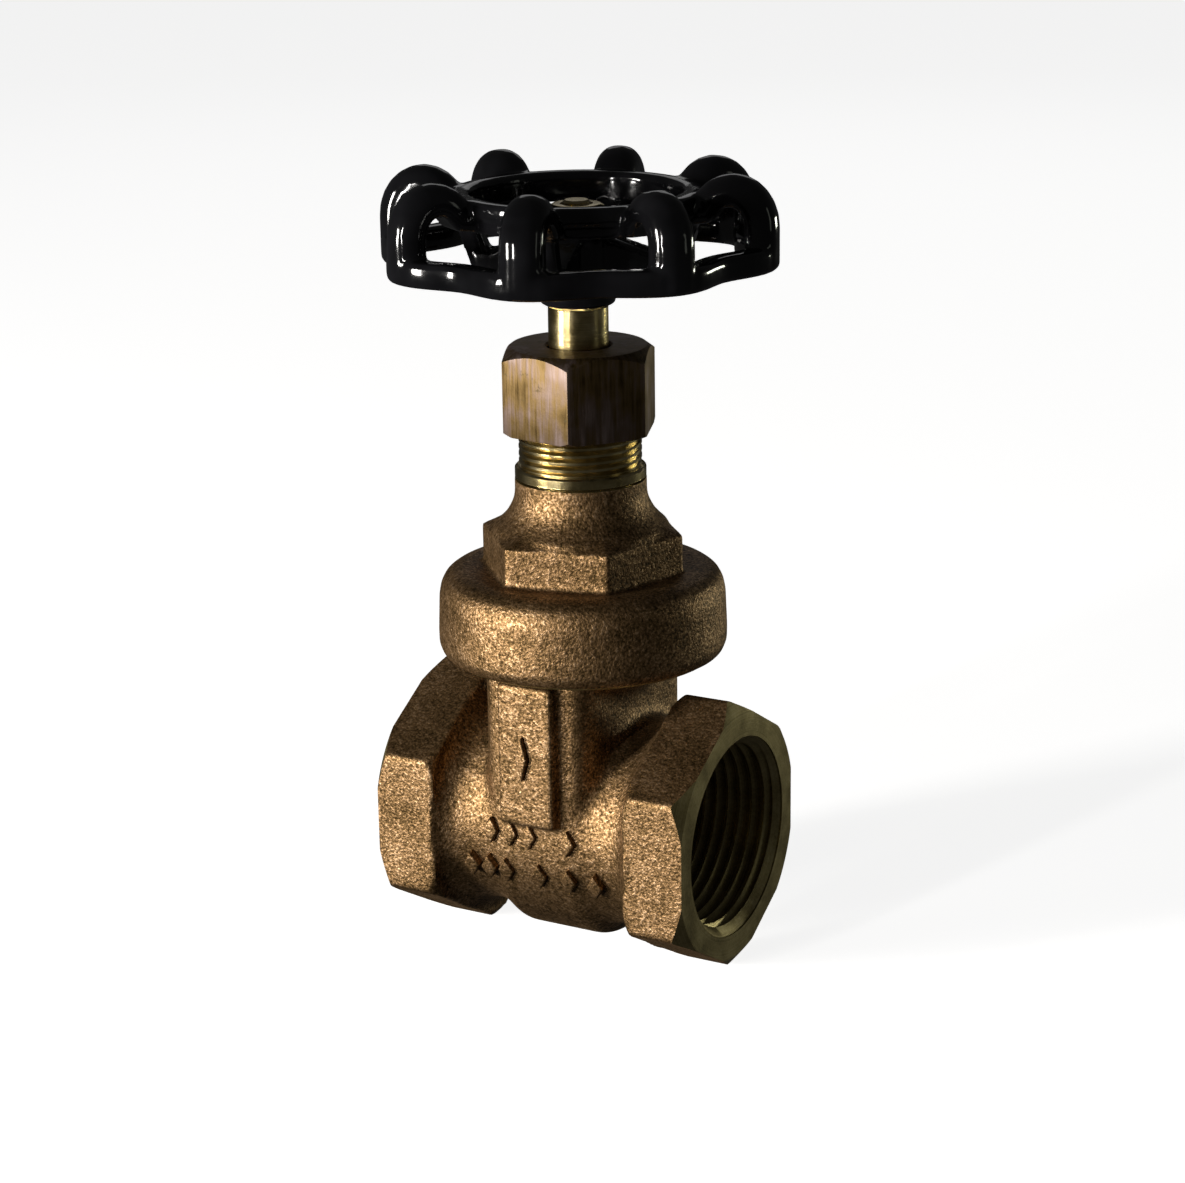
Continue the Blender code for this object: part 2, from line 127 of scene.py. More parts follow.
def turned(name, outline, steps=128, along="Z", side=1):
    """A lathe-turned piece: a circle drawn out ring by ring through (radius, height) points.
    It is a ring if the outline comes back to its first point, and otherwise solid."""
    bpy.ops.object.select_all(action="DESELECT")
    radius, height = outline[0]
    ring = outline[0] == outline[-1]
    bpy.ops.mesh.primitive_circle_add(vertices=steps, radius=radius * MM, location=(0, 0, height * MM),
                                      fill_type="NOTHING" if ring else "NGON")
    piece = named(name)
    bpy.ops.object.mode_set(mode="EDIT")
    bpy.ops.mesh.select_all(action="SELECT")
    for wide, high in outline[1:]:
        bpy.ops.mesh.extrude_region_move(TRANSFORM_OT_translate={"value": (0, 0, (high - height) * MM)})
        factor = wide / radius
        bpy.ops.transform.resize(value=(factor, factor, 1), center_override=(0, 0, high * MM))
        radius, height = wide, high
    bpy.ops.object.mode_set(mode="OBJECT")
    outward(piece)
    return laid_along_x(piece, side) if along == "X" else piece


def pick(piece, test):
    """Goes into edit mode with the points chosen that pass the test, which is given in millimetres."""
    take(piece)
    bpy.ops.object.mode_set(mode="EDIT")
    bpy.ops.mesh.select_mode(type="VERT")
    bpy.ops.mesh.select_all(action="DESELECT")
    bpy.ops.object.mode_set(mode="OBJECT")
    for vertex in piece.data.vertices:
        vertex.select = test(vertex.co / MM)
    bpy.ops.object.mode_set(mode="EDIT")


def combine(piece, tool, operation="DIFFERENCE"):
    """A Boolean of piece and tool; what the tool cuts takes the tool's material."""
    step = piece.modifiers.new("combine", "BOOLEAN")
    step.operation = operation
    step.solver = "EXACT"
    step.material_mode = "TRANSFER"
    step.object = tool
    finish_modifiers(piece)
    bpy.data.objects.remove(tool, do_unlink=True)
    return piece


def rounded(piece, width, segments=3, angle=40.0):
    """Rounds every edge sharper than angle."""
    step = piece.modifiers.new("round", "BEVEL")
    step.width = width * MM
    step.segments = segments
    step.limit_method = "ANGLE"
    step.angle_limit = math.radians(angle)
    finish_modifiers(piece)
    return piece


def cast_skin(piece, voxel, softness, where=None, deep=0):
    """Gives a joined-up shape the soft edges and hollow corners of a casting. Where says how much, from
    0 to 1, each point takes of the deep smoothing that makes the wide fillets."""
    step = piece.modifiers.new("skin", "REMESH")
    step.mode = "VOXEL"
    step.voxel_size = voxel * MM
    finish_modifiers(piece)
    if where:
        group = piece.vertex_groups.new(name="fillets")
        for vertex in piece.data.vertices:
            share = where(vertex.co / MM)
            if share > 0:
                group.add([vertex.index], share, "REPLACE")
        step = piece.modifiers.new("fillets", "SMOOTH")
        step.factor = 0.5
        step.iterations = deep
        step.vertex_group = group.name
        finish_modifiers(piece)
        piece.vertex_groups.clear()
    step = piece.modifiers.new("soften", "SMOOTH")
    step.factor = 0.5
    step.iterations = softness
    finish_modifiers(piece)
    return piece


def made_of(piece, material):
    """Makes the whole of a piece of one material."""
    piece.data.materials.clear()
    piece.data.materials.append(material)
    return piece


def smoothed(piece, angle):
    """Shades a finished piece smooth, except across edges sharper than angle."""
    take(piece)
    bpy.ops.object.shade_smooth_by_angle(angle=math.radians(angle))


def thread_tool(radius, depth, pitch, low, turns, steps=64, share=0.46):
    """A coil of diamond section that cuts a screw thread, in or out, at a radius; share is half the
    groove's width over the pitch."""
    bpy.ops.object.select_all(action="DESELECT")
    bpy.ops.mesh.primitive_circle_add(vertices=4, radius=1, location=(radius * MM, 0, low * MM),
                                      rotation=(math.pi / 2, 0, 0), fill_type="NOTHING")
    bpy.context.object.scale = (depth * MM, pitch * share * MM, 1)
    coil = named("thread_tool")
    step = coil.modifiers.new("wind", "SCREW")
    step.axis = "Z"
    step.angle = math.tau
    step.screw_offset = pitch * MM
    step.iterations = turns
    step.steps = steps
    step.render_steps = steps
    step.use_merge_vertices = False
    finish_modifiers(coil)
    bpy.ops.object.mode_set(mode="EDIT")
    bpy.ops.mesh.select_all(action="SELECT")
    bpy.ops.mesh.fill_holes(sides=0)
    bpy.ops.object.mode_set(mode="OBJECT")
    outward(coil)
    return coil


class Value:
    """A number that a material works out at each point; arithmetic on it adds Math nodes."""

    def __init__(self, paint, socket):
        self.paint, self.socket = paint, socket

    def math(self, operation, *values):
        inputs = dict(enumerate(values))
        return self.paint.node("Math", inputs, operation=operation)

    def __add__(self, other):
        return self.math("ADD", self, other)

    def __sub__(self, other):
        return self.math("SUBTRACT", self, other)

    def __rsub__(self, other):
        return self.math("SUBTRACT", other, self)

    def __mul__(self, other):
        return self.math("MULTIPLY", self, other)

    def __pow__(self, other):
        return self.math("POWER", self, other)

    __radd__, __rmul__ = __add__, __mul__

    def between(self, low, high):
        """0 below low, 1 above high, smooth between."""
        return self.paint.node("MapRange", {"Value": self, "From Min": low, "From Max": high},
                               interpolation_type="SMOOTHSTEP")


class Paint:
    """A material under construction: one Principled shader and the nodes that feed it."""

    def __init__(self, name, roughness, metallic, **constants):
        self.material = bpy.data.materials.new(name)
        self.material.use_nodes = True
        self.tree = self.material.node_tree
        self.shader = self.tree.nodes["Principled BSDF"]
        self.set("Roughness", roughness)
        self.set("Metallic", metallic)
        for socket, value in constants.items():
            self.set(socket.replace("_", " "), value)
        self.place = self.node("TexCoord", {}, output="Object")

    def set(self, socket, value):
        self.plug(self.shader.inputs[socket], value)

    def plug(self, socket, value):
        if isinstance(value, Value):
            self.tree.links.new(value.socket, socket)
        elif hasattr(value, "__len__") and len(value) == 3 and socket.type == "RGBA":
            socket.default_value = (*value, 1.0)
        else:
            socket.default_value = value

    def node(self, kind, inputs, output=0, stops=None, **settings):
        made = self.tree.nodes.new("ShaderNode" + kind)
        for setting, value in settings.items():
            setattr(made, setting, value)
        if stops:
            ramp = made.color_ramp
            while len(ramp.elements) < len(stops):
                ramp.elements.new(1.0)
            for element, (position, colour) in zip(ramp.elements, stops):
                element.position = position
                element.color = (*colour, 1.0)
        for socket, value in inputs.items():
            self.plug(made.inputs[socket], value)
        return Value(self, made.outputs[output])

    def noise(self, size, detail=2.0, roughness=0.5, place=None):
        """Soft noise whose grains are about so many millimetres across."""
        return self.node("TexNoise", {"Vector": place or self.place, "Scale": 1 / (size * MM),
                                      "Detail": detail, "Roughness": roughness})

    def rings(self, distance, roughness):
        """Lathe rings: noise along one distance only, counted in rings."""
        return self.node("TexNoise", {"W": distance, "Scale": 1.0, "Detail": 3.0, "Roughness": roughness},
                         noise_dimensions="1D")

    def stretched(self, x, y, z):
        """Object coordinates drawn out by these factors along each axis."""
        scale = (1 / x, 1 / y, 1 / z)
        return self.node("Mapping", {"Vector": self.place, "Scale": scale}, vector_type="POINT")

    def axes(self):
        split = self.node("SeparateXYZ", {"Vector": self.place})
        outputs = split.socket.node.outputs
        return [Value(self, outputs[k]) * (1 / MM) for k in range(3)]

    def ramp(self, value, *stops):
        return self.node("ValToRGB", {"Fac": value}, stops=stops)

    def mix(self, share, first, second, blend="MIX"):
        made = self.node("Mix", {"Factor": share}, data_type="RGBA", blend_type=blend, output=2)
        node = made.socket.node
        self.plug(node.inputs[6], first)
        self.plug(node.inputs[7], second)
        return made

    def bump(self, height, distance, strength=1.0, under=None):
        inputs = {"Height": height, "Distance": distance * MM, "Strength": strength}
        if under:
            inputs["Normal"] = under
        return self.node("Bump", inputs)


def cast_bronze(name):
    """Sand-cast bronze: hard pebbled grain in its own tone, with painted highlight on the high grains and
    painted shade in the pits between them.
    """
    paint = Paint(name, 0.45, 1.0)
    grain = paint.noise(0.42, 2.0, 0.6)
    coarse = paint.noise(0.9, 1.0, 0.5)
    patches = paint.noise(6.0, 3.0, 0.55)
    tone = grain * 0.6 + coarse * 0.2 + patches * 0.2
    # Painted highlight and shade: the colour follows the grain's height, light on the high grains and
    # near-black brown in the pits, over the grain's own tone.
    colour = paint.ramp(tone, (0.37, (0.045, 0.027, 0.010)), (0.47, (0.150, 0.090, 0.038)),
                        (0.55, (0.275, 0.165, 0.078)), (0.64, (0.52, 0.35, 0.20)))
    paint.set("Base Color", colour)
    paint.set("Roughness", 0.70 - grain * 0.34)
    height = grain * 0.8 + coarse * 0.4
    paint.set("Normal", paint.bump(height, 0.19, 0.9, paint.bump(patches, 0.4, 0.3)))
    return paint.material


def machined_bronze(name, axis="X"):
    """Faced and bored bronze: olive yellow with fine lathe rings about the axis it was turned on."""
    paint = Paint(name, 0.34, 1.0)
    x, y, z = paint.axes()
    across, up, along = (y, z, x) if axis == "X" else (x, y, z)
    radius = (across * across + up * up) ** 0.5
    rings = paint.rings(radius * 5.2 + along * 4.0, 0.7)
    stain = paint.noise(4.0, 4.0, 0.6)
    specks = paint.noise(0.5, 2.0, 0.5)
    tone = rings * 0.4 + stain * 0.45 + specks * 0.15
    paint.set("Base Color", paint.ramp(tone, (0.30, (0.19, 0.145, 0.055)), (0.5, (0.40, 0.32, 0.14)),
                                       (0.68, (0.56, 0.47, 0.25))))
    paint.set("Roughness", 0.3 + stain * 0.2)
    paint.set("Normal", paint.bump(rings, 0.05, 0.55))
    return paint.material


SOCKET_END = frame["record"]["mounts"][1]["pos_m"][0] / MM
SOCKET_FLATS = 41.0
BARREL = 17.6
CHAMBER_SIDE, CHAMBER_FRONT = 10.3, 18.0
CHAMBER_TOP, CHAMBER_DEPTH = 28.6, 20.8
CHAMBER_EDGE = 4.4
PAD_FRONT = 20.4
NECK = 18.3
NECK_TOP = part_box("body")[1].z / MM
ROOM_R, FLOW_R, MOUTH_R = 15.3, 12.6, 17.0
SEAT_R, SEAT_FRONT, SEAT_BACK = 14.9, 5.4, 8.0
SEAT_HALF, SEAT_SLOPE = 5.65, math.tan(math.radians(5))
PIPE_THREAD_PITCH = 2.209

bronze = cast_bronze("cast_bronze")
faced_bronze = machined_bronze("faced_bronze")

flare = [(20.9, 18.6), (19.6, 17.6), (18.5, 16.4), (17.8, 14.8), (BARREL, 13.0)]
barrel = [(r, -x) for r, x in flare] + [(r, x) for r, x in reversed(flare)]
body = turned("valve_body_casting", barrel, along="X")
chamber = bar("chamber", 96, CHAMBER_FRONT, -CHAMBER_SIDE, CHAMBER_SIDE, along="X")
take(chamber)
bpy.ops.transform.resize(value=(1, 1, CHAMBER_DEPTH / CHAMBER_FRONT), center_override=(0, 0, 0))
bpy.ops.object.transform_apply(scale=True)
rounded(chamber, CHAMBER_EDGE, 6, 60)
upper = block("upper", (-CHAMBER_SIDE, -CHAMBER_FRONT, -CHAMBER_EDGE), (CHAMBER_SIDE, CHAMBER_FRONT, 33))
rounded(upper, CHAMBER_EDGE, 6, 60)
combine(upper, block("trim", (-12, -20, CHAMBER_TOP), (12, 20, 40)))
combine(chamber, upper, "UNION")
combine(body, chamber, "UNION")
pads = block("pads", (-5.2, -PAD_FRONT, 3.4), (5.2, PAD_FRONT, CHAMBER_TOP - 0.5))
combine(body, rounded(pads, 0.7, 2), "UNION")
combine(body, turned("neck", [(8.0, 22.0), (NECK, CHAMBER_TOP - 0.6), (NECK, NECK_TOP - 0.6),
                              (NECK - 0.6, NECK_TOP)]), "UNION")
corner = SOCKET_FLATS / math.sqrt(3)
for side in (1, -1):
    hexagon = bar("hexagon", 6, corner, 18.0, SOCKET_END + 0.6, 90)
    round_off = turned("round_off", [(corner - 1.6, 17.8), (corner + 0.1, 19.4), (corner + 0.1, 30.0)], 96)
    combine(body, laid_along_x(combine(hexagon, round_off, "INTERSECT"), side), "UNION")


def fillet_share(point):
    """The wide hollow corners lie between sockets and chamber; the chamber's front edges stay sharper."""
    across, out = abs(point.x), math.hypot(point.y, point.z)
    inside = min((18.6 - across) / 1.6, (across - 6.5) / 3.0, (27.8 - point.z) / 2.0)
    if out > 20.2 and across > 16.5:
        inside = min(inside, (20.9 - out) / 0.7)
    if point.z > 4.0:
        inside = min(inside, max((17.2 - abs(point.y)) / 1.6, (9.0 - point.z) / 5.0))
    return max(0.0, min(1.0, inside))


cast_skin(body, 0.45, 4, fillet_share, 110)

marks = [(-0.2, 15.6, 2.2, 8.0)] + [(x, 1.0, 2.8, 4.8) for x in (-8.0, -4.3, -0.7, 6.6)]
marks += [(x, -5.8, 3.0, 4.8) for x in (-12.3, -8.9, -5.6, 0.8, 6.4, 11.4)]
lozenges = []
# Raised lozenges stand on the front, the low ones laid back with the curve of the casting.
for x, height, wide, tall in marks:
    lozenge = bar("mark", 4, 1.0, -1.4, 1.4)
    slope = math.asin(min(0.0, height) / CHAMBER_DEPTH)
    front = (PAD_FRONT if height > 4 else CHAMBER_FRONT * math.cos(slope) - 0.2) - 0.45
    lozenge.scale = (wide / 2, tall / 2, 1)
    lozenge.rotation_euler = (math.pi / 2 - slope, 0, 0)
    lozenge.location = (x * MM, -front * MM, height * MM)
    bpy.ops.object.transform_apply(location=True, rotation=True, scale=True)
    lozenges.append(rounded(lozenge, 0.3, 3))
bpy.ops.object.select_all(action="DESELECT")
for lozenge in lozenges:
    lozenge.select_set(True)
bpy.context.view_layer.objects.active = lozenges[0]
bpy.ops.object.join()
combine(body, lozenges[0], "UNION")
made_of(body, bronze)

for side in (1, -1):
    outline = [(21.2, SOCKET_END), (26.5, SOCKET_END - 4.2), (26.5, SOCKET_END + 3)]
    facing = turned("facing", outline, 128, "X", side)
    facing.data.materials.append(faced_bronze)
    combine(body, facing)


def leaning_slab(name, half, out, low, high):
    """A slab across the pipe run, half thick each way at z = 0, whose faces lean apart upwards."""
    slab = block(name, (-1, -out, low), (1, out, high))
    for height in (low, high):
        pick(slab, lambda point: abs(point.z - height) < 1)
        bpy.ops.transform.resize(value=(half + height * SEAT_SLOPE, 1, 1), center_override=(0, 0, 0))
        bpy.ops.object.mode_set(mode="OBJECT")
    return slab


core = bar("core", 96, ROOM_R, -7.5, 7.5, along="X")
combine(core, block("upper_room", (-7.4, -15.2, -0.5), (7.4, 15.2, NECK_TOP + 1)), "UNION")
for side in (1, -1):
    low, high = sorted((side * SEAT_FRONT, side * SEAT_BACK))
    combine(core, bar("seat", 96, SEAT_R, low, high, along="X"))
combine(core, bar("flow", 96, FLOW_R, -SOCKET_END + 6, SOCKET_END - 6, along="X"), "UNION")
gate_room = leaning_slab("gate_room", SEAT_HALF, ROOM_R, -ROOM_R, 20)
gate_round = bar("gate_round", 96, 15.2, -9, 9, along="X")
combine(gate_round, block("gate_upper", (-8.9, -15.1, -0.5), (8.9, 15.1, 21)), "UNION")
combine(gate_room, gate_round, "INTERSECT")
made_of(gate_room, faced_bronze)
for side in (1, -1):
    mouth = [(14.9, 12.0), (15.4, SOCKET_END - 2.5), (15.6, SOCKET_END - 1.7),
             (MOUTH_R, SOCKET_END - 0.3), (17.2, SOCKET_END + 2)]
    combine(core, turned("socket", mouth, 128, "X", side), "UNION")
made_of(core, faced_bronze)
combine(body, core)
combine(body, gate_room)
for side in (1, -1):
    pipe_thread = thread_tool(radius=15.2, depth=1.35, pitch=PIPE_THREAD_PITCH, low=12.4, turns=7, steps=72)
    pipe_thread.rotation_euler = (0, 0, math.radians(187))
    bpy.ops.object.transform_apply(rotation=True)
    pipe_thread.data.materials.append(faced_bronze)
    combine(body, laid_along_x(pipe_thread, side))
smoothed(body, 35)
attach(body, "valve_body")
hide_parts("body")

# ---- Wedge ------------------------------------------------------------------------------------
# The gate itself, a bronze disc that tapers towards the bottom. Its two faces are ground to fit the
# seats, and its boss is tapped for the stem's thread, so that it climbs when the stem turns.
WEDGE_R, WEDGE_HALF, STEM_HOLE_R = 14.5, 5.3, 4.7
ground_bronze = machined_bronze("ground_bronze")

wedge = bar("wedge_disc", 128, WEDGE_R, -9, 9, along="X")
combine(wedge, turned("boss", [(6.9, 0), (6.9, 20.8), (5.7, 22.0)], 64), "UNION")
combine(wedge, leaning_slab("prism", WEDGE_HALF, 22, -18, 24), "INTERSECT")
combine(wedge, bar("stem_hole", 48, STEM_HOLE_R, -12.6, 24))
for side in (1, -1):
    combine(wedge, block("slot", (-1.4, side * 15 - 2, -16), (1.4, side * 15 + 2, 16)))
rounded(wedge, 0.35, 2)
made_of(wedge, ground_bronze)
smoothed(wedge, 35)
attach(wedge, "gate")
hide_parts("wedge")


# ---- Stem -------------------------------------------------------------------------------------
# Turned brass: a screw at the bottom for the wedge, a collar that the bonnet holds, a plain polished
# shank, a square for the handwheel and a short end for its nut.


def turned_brass(name):
    """Bright turned brass, with fine rings round Z and a few darker smears."""
    paint = Paint(name, 0.2, 1.0)
    x, y, z = paint.axes()
    radius = (x * x + y * y) ** 0.5
    rings = paint.rings(z * 6.0 + radius * 4.0, 0.65)
    smears = paint.noise(3.5, 4.0, 0.6)
    tone = rings * 0.35 + smears * 0.65
    paint.set("Base Color", paint.ramp(tone, (0.32, (0.27, 0.20, 0.07)), (0.5, (0.52, 0.41, 0.19)),
                                       (0.7, (0.74, 0.62, 0.36))))
    paint.set("Roughness", 0.14 + smears * 0.16)
    paint.set("Normal", paint.bump(rings, 0.035, 0.5))
    return paint.material


STEM_R, STEM_LEAD = 4.95, 3.175
COLLAR_LOW, COLLAR_TOP = 50.5, 53.5
HUB_LOW, HUB_TOP = 87.8, 100.6
STEM_TOP = 104.8
brass = turned_brass("turned_brass")

outline = [(3.4, 14.0), (4.4, 15.0), (4.4, COLLAR_LOW), (6.8, COLLAR_LOW), (7.0, COLLAR_LOW + 0.2),
           (7.0, COLLAR_TOP - 0.2), (6.8, COLLAR_TOP), (STEM_R, COLLAR_TOP), (STEM_R, HUB_LOW - 0.4),
           (STEM_R - 0.1, HUB_LOW - 0.3)]
stem = turned("stem_shaft", outline, 96)
combine(stem, thread_tool(radius=4.75, depth=1.1, pitch=STEM_LEAD, low=12.0, turns=10, steps=48))
square = rounded(block("square", (-3.5, -3.5, HUB_LOW - 2), (3.5, 3.5, HUB_TOP - 0.6)), 0.4, 2)
combine(stem, square, "UNION")
combine(stem, turned("end", [(2.4, HUB_TOP - 2), (2.4, STEM_TOP - 0.5), (1.9, STEM_TOP)], 48), "UNION")
combine(stem, thread_tool(radius=2.5, depth=0.32, pitch=0.8, low=100.4, turns=7, steps=32))
made_of(stem, brass)
smoothed(stem, 35)
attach(stem, "stem_and_wheel")
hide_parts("stem")


# ---- Bonnet -----------------------------------------------------------------------------------
# Cast in the same bronze as the body: a deep cap that screws over the body's neck, a hexagon for the
# spanner and a waisted collar. Its lower rim, its inside and the top of the collar are turned.
BONNET_LOW, BONNET_TOP = 28.9, 58.7
HEX_EDGE, HEX_TOP, HEX_TAPER = 49.6, 51.6, 0.76

skirt = [(21.8, BONNET_LOW - 0.6), (23.6, 29.6), (24.15, 31.0), (24.2, 33.0), (23.95, 39.2), (23.6, 40.9),
         (22.9, 42.2), (21.6, 43.1), (19.8, 43.45), (16.0, 43.1), (13.8, 43.0)]
waist = [(14.6, 50.6), (13.5, 51.6), (12.4, 52.8), (11.6, 54.2), (11.1, 55.5), (10.95, 56.8),
         (10.95, BONNET_TOP + 0.6)]
bonnet = turned("bonnet_casting", skirt + waist)
bonnet_hex = bar("bonnet_hex", 6, 17.4, 41.5, HEX_EDGE, 43.3)
pick(bonnet_hex, lambda point: point.z > HEX_EDGE - 0.6)
bpy.ops.mesh.extrude_region_move(TRANSFORM_OT_translate={"value": (0, 0, 2.0 * MM)})
bpy.ops.transform.resize(value=(HEX_TAPER, HEX_TAPER, 1), center_override=(0, 0, HEX_TOP * MM))
bpy.ops.object.mode_set(mode="OBJECT")
combine(bonnet, bonnet_hex, "UNION")
cast_skin(bonnet, 0.42, 3)
made_of(bonnet, bronze)
turned_bronze = machined_bronze("turned_bronze", "Z")
outline = [(21.9, BONNET_LOW - 2), (21.9, BONNET_LOW), (22.4, BONNET_LOW), (23.2, 29.5), (26.0, 29.5),
           (26.0, BONNET_LOW - 2), (21.9, BONNET_LOW - 2)]
rim_cut = turned("rim_cut", outline)
rim_cut.data.materials.append(turned_bronze)
combine(bonnet, rim_cut)
outline = [(22.6, BONNET_LOW - 2), (22.6, BONNET_LOW), (19.2, BONNET_LOW), (18.6, BONNET_LOW + 0.6),
           (18.6, 38.3), (16.6, 38.3), (16.6, 40.9), (7.7, 43.4), (7.5, 48.6), (4.75, 48.6), (4.75, 50.2),
           (7.4, 50.2), (7.4, 53.5), (9.3, 53.5), (9.3, BONNET_TOP), (13.0, BONNET_TOP),
           (13.0, BONNET_TOP + 2)]
room = turned("room", outline)
room.data.materials.append(turned_bronze)
combine(bonnet, room)
smoothed(bonnet, 35)
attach(bonnet, "valve_body")
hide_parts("bonnet")

# ---- Stuffing box -----------------------------------------------------------------------------
# A turned brass sleeve screwed into the collar of the bonnet. It holds the packing round the stem and
# carries the thread that the packing nut runs on.
STEM_HOLE = 5.25

flange = [(10.75, 59.0), (10.9, 59.15), (10.9, 60.6), (10.6, 60.9)]
outline = [(STEM_HOLE, 53.8), (9.0, 53.8), (9.0, 59.0), *flange, (9.9, 60.9), (9.9, 61.2), (10.2, 61.5),
           (10.2, 70.0), (9.6, 70.6), (7.6, 70.6), (7.6, 57.2), (STEM_HOLE, 57.2), (STEM_HOLE, 53.8)]
box = turned("stuffing_box_sleeve", outline)
combine(box, thread_tool(radius=10.35, depth=0.75, pitch=1.2, low=60.5, turns=10, steps=72, share=0.4))
made_of(box, brass)
smoothed(box, 35)
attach(box, "valve_body")
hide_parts("stuffing_box")


# ---- Packing ----------------------------------------------------------------------------------
# Four rings of braided, greased cord round the stem, pressed down by a turned brass gland. They sit
# inside the nut, so the plain rings of the model carry the finish of the cord.


def braided_cord(name):
    paint = Paint(name, 0.8, 0.0)
    weave = paint.node("TexWave", {"Vector": paint.place, "Scale": 900.0, "Distortion": 2.0, "Detail": 1.0},
                       bands_direction="DIAGONAL", output=1)
    fibres = paint.noise(0.3, 3.0, 0.6)
    paint.set("Base Color", paint.ramp(weave * 0.6 + fibres * 0.4, (0.3, (0.05, 0.047, 0.043)),
                                       (0.7, (0.22, 0.20, 0.17))))
    paint.set("Normal", paint.bump(weave, 0.2, 0.8))
    return paint.material


def repaint(nodes, finish):
    """Gives pieces of the model that are shown as they are a better finish."""
    for node in nodes:
        shown = bpy.data.objects[node]
        for slot in shown.material_slots:
            slot.material = finish


repaint([f"packing_ring_{k}" for k in range(1, 5)], braided_cord("packing_cord"))
repaint(["packing_gland"], brass)


# ---- Packing nut ------------------------------------------------------------------------------
# A bright hexagonal union nut, milled from brass bar: flats with upright tool marks and stains, and
# a coned top and bottom turned on the lathe. It presses the gland down on the packing.


def milled_brass(name):
    """Milled flats: streaks along Z in mauve-grey and gold, with dark stains."""
    paint = Paint(name, 0.3, 1.0)
    streaks = paint.noise(0.9, 3.0, 0.6, paint.stretched(1, 1, 14))
    blotches = paint.noise(2.2, 4.0, 0.7)
    patches = paint.noise(6.0, 2.0, 0.5)
    base = paint.ramp(streaks * 0.5 + patches * 0.5,
                      (0.36, (0.045, 0.028, 0.010)), (0.46, (0.115, 0.075, 0.030)),
                      (0.55, (0.135, 0.095, 0.072)), (0.66, (0.21, 0.16, 0.145)))
    stain = blotches.between(0.60, 0.72)
    paint.set("Base Color", paint.mix(stain * 0.7, base, (0.10, 0.075, 0.035)))
    paint.set("Roughness", 0.42 + streaks * 0.2 + stain * 0.15)
    paint.set("Normal", paint.bump(streaks, 0.12, 0.6, paint.bump(blotches, 0.12, 0.3)))
    return paint.material


NUT_R, NUT_TURN, NUT_LOW, NUT_TOP = 13.5, 21.2, 66.9, 81.0
nut = bar("packing_nut_hexagon", 6, NUT_R, NUT_LOW, NUT_TOP, NUT_TURN)
outline = [(12.7, NUT_LOW), (13.7, NUT_LOW + 0.7), (13.7, NUT_TOP - 1.9), (11.2, NUT_TOP)]
combine(nut, turned("cone", outline), "INTERSECT")
rounded(nut, 0.22, 2, 20)
outline = [(10.9, NUT_LOW - 1), (10.9, NUT_LOW + 0.2), (10.45, NUT_LOW + 0.8), (10.45, 76.0),
           (STEM_HOLE, 76.0), (STEM_HOLE, NUT_TOP - 0.3), (5.6, NUT_TOP), (5.6, NUT_TOP + 1)]
combine(nut, turned("nut_room", outline, 96))
made_of(nut, milled_brass("milled_brass"))
smoothed(nut, 22)
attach(nut, "valve_body")
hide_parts("packing_nut")


# ---- Handwheel --------------------------------------------------------------------------------
# A malleable iron casting under thick gloss black enamel. Eight round-backed lobes arch from the
# small upper ring over to the waved lower rim, and four slanting spokes join the ring to the hub.


def black_enamel(name):
    """Thick gloss paint: black, hardly wavy, a little orange peel."""
    paint = Paint(name, 0.1, 0.0, IOR=1.5)
    sag = paint.noise(5.0, 1.0, 0.5)
    peel = paint.noise(1.3, 1.0, 0.5)
    paint.set("Base Color", paint.ramp(sag, (0.3, (0.003, 0.003, 0.0035)), (0.7, (0.006, 0.006, 0.007))))
    paint.set("Roughness", 0.05 + peel * 0.08)
    paint.set("Normal", paint.bump(peel, 0.03, 0.3, paint.bump(sag, 0.25, 0.3)))
    return paint.material


def swept(name, path, wide, deep, corners):
    """A bar drawn along (x, y) points. It is wide along Z and deep across its path; corners are the
    roundings on its left and on its right. A path that ends where it began makes a closed rim."""
    closed = path[0] == path[-1]
    bpy.ops.object.select_all(action="DESELECT")
    bpy.ops.mesh.primitive_plane_add(size=1)
    bpy.context.object.scale = (deep * MM, wide * MM, 1)
    piece = named(name)
    for side, radius in zip((1, -1), corners):
        edge, half = side * deep / 2, wide / 2
        pick(piece, lambda point: abs(point.x - edge) < 0.001 and abs(abs(point.y) - half) < 0.001)
        bpy.ops.mesh.bevel(offset=radius * MM, segments=7, affect="VERTICES")
        bpy.ops.object.mode_set(mode="OBJECT")
    points = [Vector((*point, 0)) * MM for point in path]
    around = points[:-1] if closed else points
    headings = []
    for k, point in enumerate(points):
        before = around[(k - 1) % len(around)] if closed else points[max(k - 1, 0)]
        after = around[(k + 1) % len(around)] if closed else points[min(k + 1, len(points) - 1)]
        headings.append(math.atan2((after - before).y, (after - before).x))
    piece.rotation_euler = (math.pi / 2, 0, headings[0] + math.pi / 2)
    piece.location = points[0]
    bpy.ops.object.transform_apply(location=True, rotation=True)
    bpy.ops.object.mode_set(mode="EDIT")
    bpy.ops.mesh.select_all(action="SELECT")
    if closed:
        bpy.ops.mesh.delete(type="ONLY_FACE")
        bpy.ops.mesh.select_all(action="SELECT")
    for k in range(1, len(points)):
        bpy.ops.mesh.extrude_region_move(TRANSFORM_OT_translate={"value": points[k] - points[k - 1]})
        turn = (headings[k] - headings[k - 1] + math.pi) % math.tau - math.pi
        bpy.ops.transform.rotate(value=-turn, orient_axis="Z", center_override=points[k])
    bpy.ops.mesh.select_all(action="SELECT")
    bpy.ops.mesh.remove_doubles(threshold=0.01 * MM)
    bpy.ops.object.mode_set(mode="OBJECT")
    outward(piece)
    return piece


